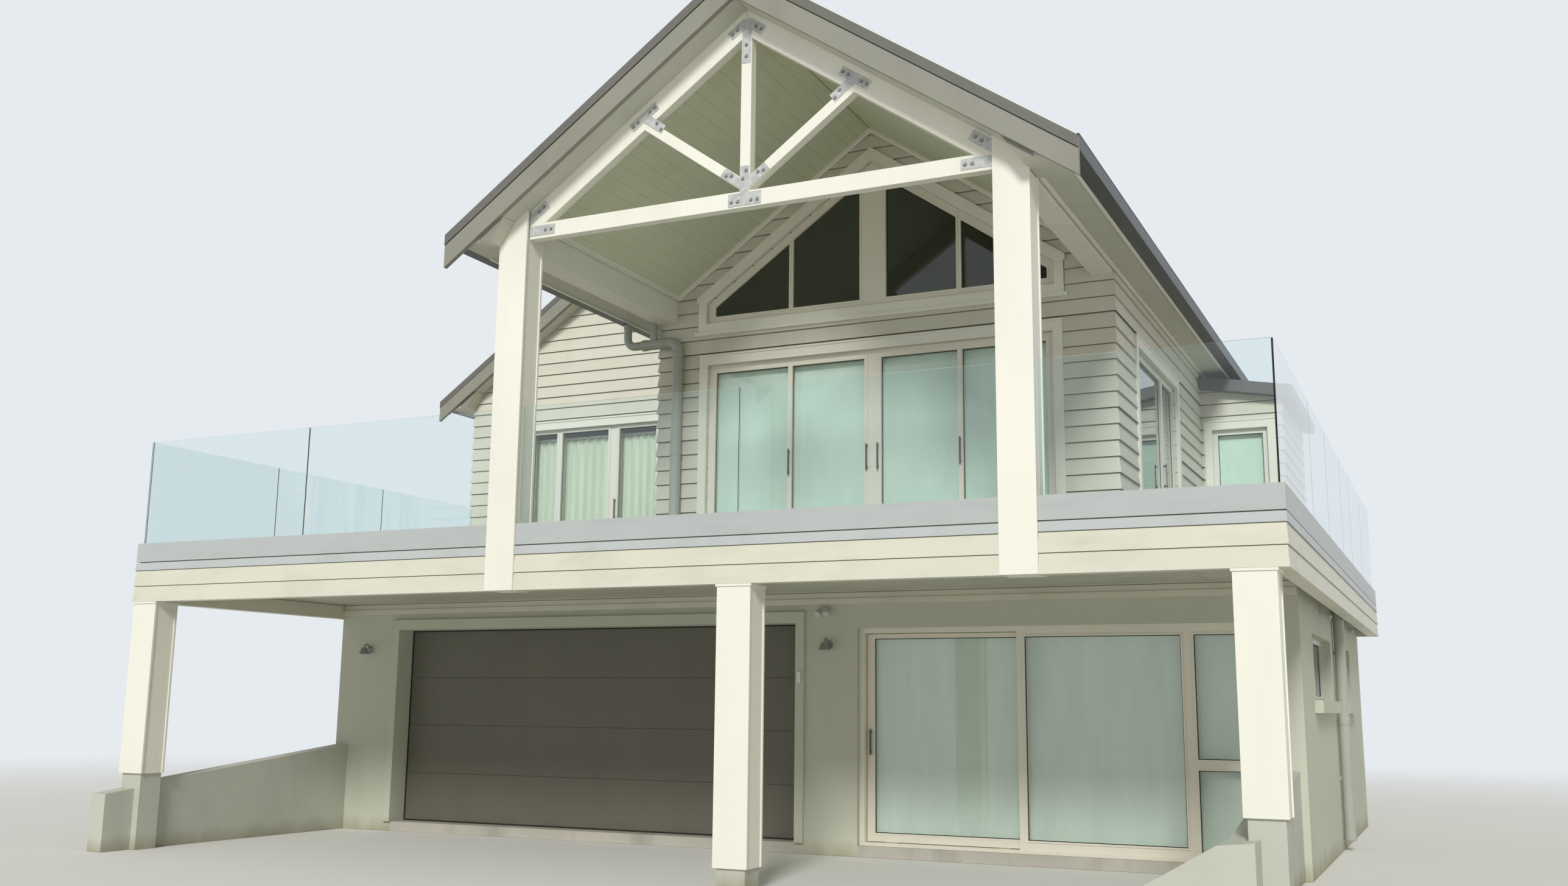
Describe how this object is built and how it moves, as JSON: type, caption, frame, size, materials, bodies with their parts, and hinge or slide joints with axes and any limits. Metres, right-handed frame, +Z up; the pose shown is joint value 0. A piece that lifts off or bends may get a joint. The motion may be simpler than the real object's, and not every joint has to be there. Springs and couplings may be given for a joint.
{
  "type": "beach house",
  "caption": "Beach house with plastered lower floor, garage door, sliding glass door, glass-railed deck and weatherboard gables with a timber porch truss.",
  "frame": {"origin": "centre of the house's box, at the level of its lowest footings", "axes": "+Z up, -Y out of the front towards the viewer, +X to the right along the front"},
  "size_m": [11.053, 10.24, 7.428],
  "materials": {
    "barge_paint": "satin",
    "cap_paint": "satin",
    "concrete": "matte",
    "decking": "matte",
    "fascia_paint": "satin",
    "fittings": "satin",
    "floor_timber": "matte",
    "galvanised": "satin",
    "garage_door": "satin",
    "glass": "gloss",
    "joinery": "satin",
    "pipe_paint": "satin",
    "plaster": "matte",
    "roofing": "satin",
    "weatherboard": "satin",
    "white_paint": "satin"
  },
  "bodies": {
    "house": {"barge_boards": "barge_paint", "barge_flashings": "roofing", "bay_frame": "joinery", "bay_glass": "glass", "box_beam": "fascia_paint", "deck_boards": "decking", "deck_cap": "cap_paint", "downpipes": "pipe_paint", "eave_gutters": "pipe_paint", "facing_boards": "white_paint", "fascia_band": "cap_paint", "fascia_boards": "fascia_paint", "floor_structure": "fascia_paint", "front_wall_left_pier": "plaster", "front_wall_lintels": "plaster", "front_wall_middle_pier": "plaster", "front_wall_right_pier": "plaster", "gable_wall": "weatherboard", "gable_window_frame": "joinery", "garage_door": "garage_door", "garage_facings": "plaster", "glass_balustrade": "glass", "ground_slab": "concrete", "left_retaining_wall": "concrete", "lower_back_wall": "plaster", "lower_left_wall": "plaster", "lower_posts": "white_paint", "lower_right_wall": "plaster", "porch_eave_beams": "white_paint", "post_plinths": "concrete", "rear_bay_roof": "roofing", "rear_bay_walls": "weatherboard", "ridge_caps": "roofing", "right_stub_wall": "concrete", "rim_beam": "fascia_paint", "roof_left": "roofing", "roof_right": "roofing", "tall_posts": "white_paint", "truss_chord": "white_paint", "truss_king_post": "white_paint", "truss_plates": "galvanised", "truss_rafters": "white_paint", "truss_struts": "white_paint", "upper_back_wall": "weatherboard", "upper_door_frames": "joinery", "upper_floor": "floor_timber", "upper_glass": "glass", "upper_left_wall": "weatherboard", "upper_right_wall": "weatherboard", "valley_beam": "weatherboard", "wall_fittings": "fittings", "window_frames": "joinery", "window_glass": "glass", "window_sills": "plaster", "wing_front_wall": "weatherboard", "wing_left_wall": "weatherboard", "wing_roof": "roofing"},
    "door_leaf": {"sliding_leaf": "joinery", "sliding_leaf_glass": "glass"}
  },
  "joints": [
    {"name": "leaf_slide", "type": "slide", "parent": "house", "child": "door_leaf", "axis": [1, 0, 0], "range_m": [0, 1.38]}
  ]
}
